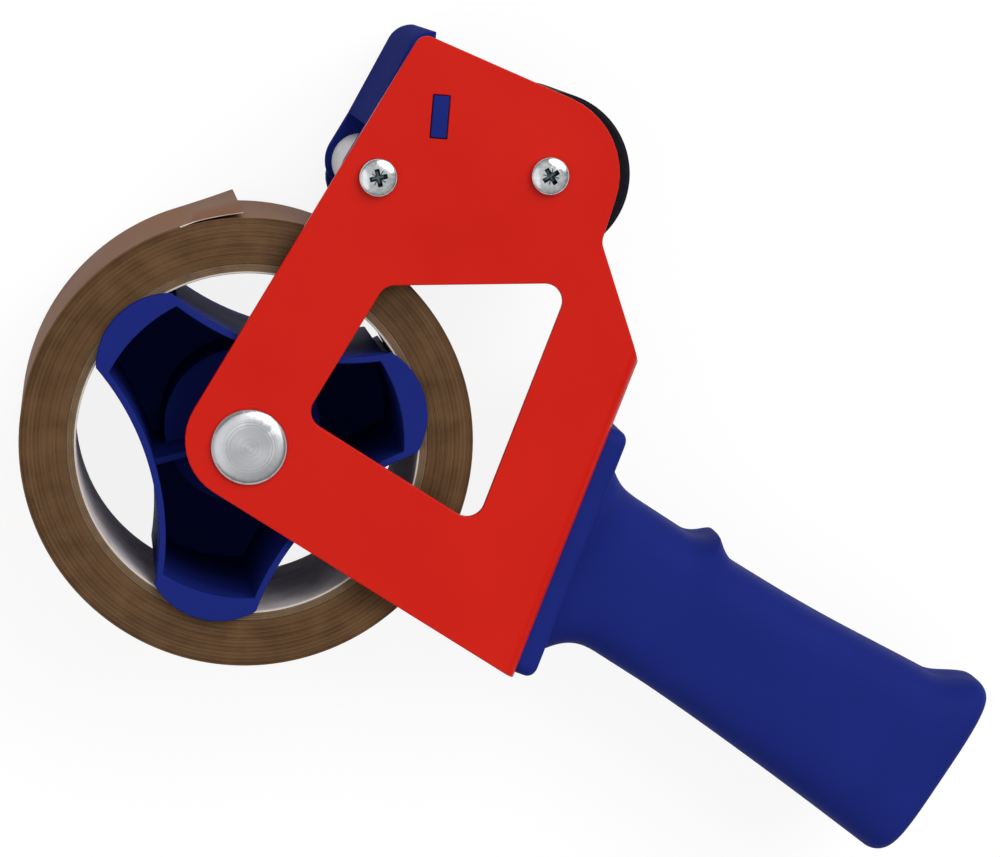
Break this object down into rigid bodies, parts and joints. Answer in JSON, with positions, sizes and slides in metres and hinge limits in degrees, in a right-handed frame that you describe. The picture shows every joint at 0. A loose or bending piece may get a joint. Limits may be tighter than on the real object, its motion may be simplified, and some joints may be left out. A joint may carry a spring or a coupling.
{
  "type": "packing tape dispenser",
  "caption": "Pistol-grip packing tape dispenser with a steel side frame, braked hub, tape roll, rubber pressure roller and toothed blade under a hinged guard.",
  "frame": {"origin": "on the hub axis, in the plane of the far cheek's outer face, which the dispenser lies on", "axes": "+Z along the hub axis from the far cheek to the side plate, +X from the guide axle to the roller axle, +Y from the hub to the head"},
  "size_m": [0.2258, 0.1939, 0.0607],
  "materials": {
    "red_paint": "gloss paint on steel sheet",
    "blue_plastic": "moulded, satin",
    "zinc": "zinc plated",
    "blade_steel": "ground",
    "pale_plastic": "moulded, satin",
    "dark_plastic": "moulded, matt",
    "black_rubber": "ground rubber",
    "core_paper": "wound paper",
    "brown_tape": "wound film"
  },
  "bodies": {
    "frame": {"side_frame": "red_paint", "handle": "blue_plastic", "handle_screws": "zinc", "head_cheek": "blue_plastic", "blade": "blade_steel", "blade_screws": "zinc", "guide_axle": "zinc", "roller_axle": "zinc", "head_screws_near": "zinc", "head_screws_far": "zinc", "hub_bolt": "zinc", "hub_nut": "zinc", "friction_washer": "zinc", "pressure_washer": "zinc", "brake_spring": "blade_steel"},
    "spool": {"hub": "blue_plastic", "tape_core": "core_paper", "tape_roll": "brown_tape"},
    "pressure_roller": {"roller_core": "dark_plastic", "roller_sleeve": "black_rubber"},
    "guide": {"guide_roller": "pale_plastic"},
    "guard": {"blade_guard": "blue_plastic"},
    "spring_seat": {"spring_washer": "zinc"},
    "knob": {"tension_knob": "blue_plastic"}
  },
  "joints": [
    {"name": "spool_spin", "type": "hinge", "parent": "frame", "child": "spool", "pos_m": [0, 0, 0.03], "axis": [0, 0, 1], "continuous": true},
    {"name": "roller_spin", "type": "hinge", "parent": "frame", "child": "pressure_roller", "pos_m": [0.0672, 0.0595, 0.03], "axis": [0, 0, 1], "continuous": true},
    {"name": "guide_spin", "type": "hinge", "parent": "frame", "child": "guide", "pos_m": [0.029, 0.0595, 0.03], "axis": [0, 0, 1], "continuous": true},
    {"name": "guard_swing", "type": "hinge", "parent": "frame", "child": "guard", "pos_m": [0.029, 0.0595, 0.03], "axis": [0, 0, 1], "range_deg": [0, 100]},
    {"name": "knob_travel", "type": "slide", "parent": "frame", "child": "spring_seat", "axis": [0, 0, 1], "range_m": [-0.00126, 0.00126], "deforming": ["brake_spring"]},
    {"name": "knob_turn", "type": "hinge", "parent": "spring_seat", "child": "knob", "pos_m": [0, 0, 0.007], "axis": [0, 0, 1], "range_deg": [-360, 360]}
  ],
  "couplings": [
    {"joint": "knob_travel", "follows": "knob_turn", "m_per_rad": 0.00019894}
  ]
}
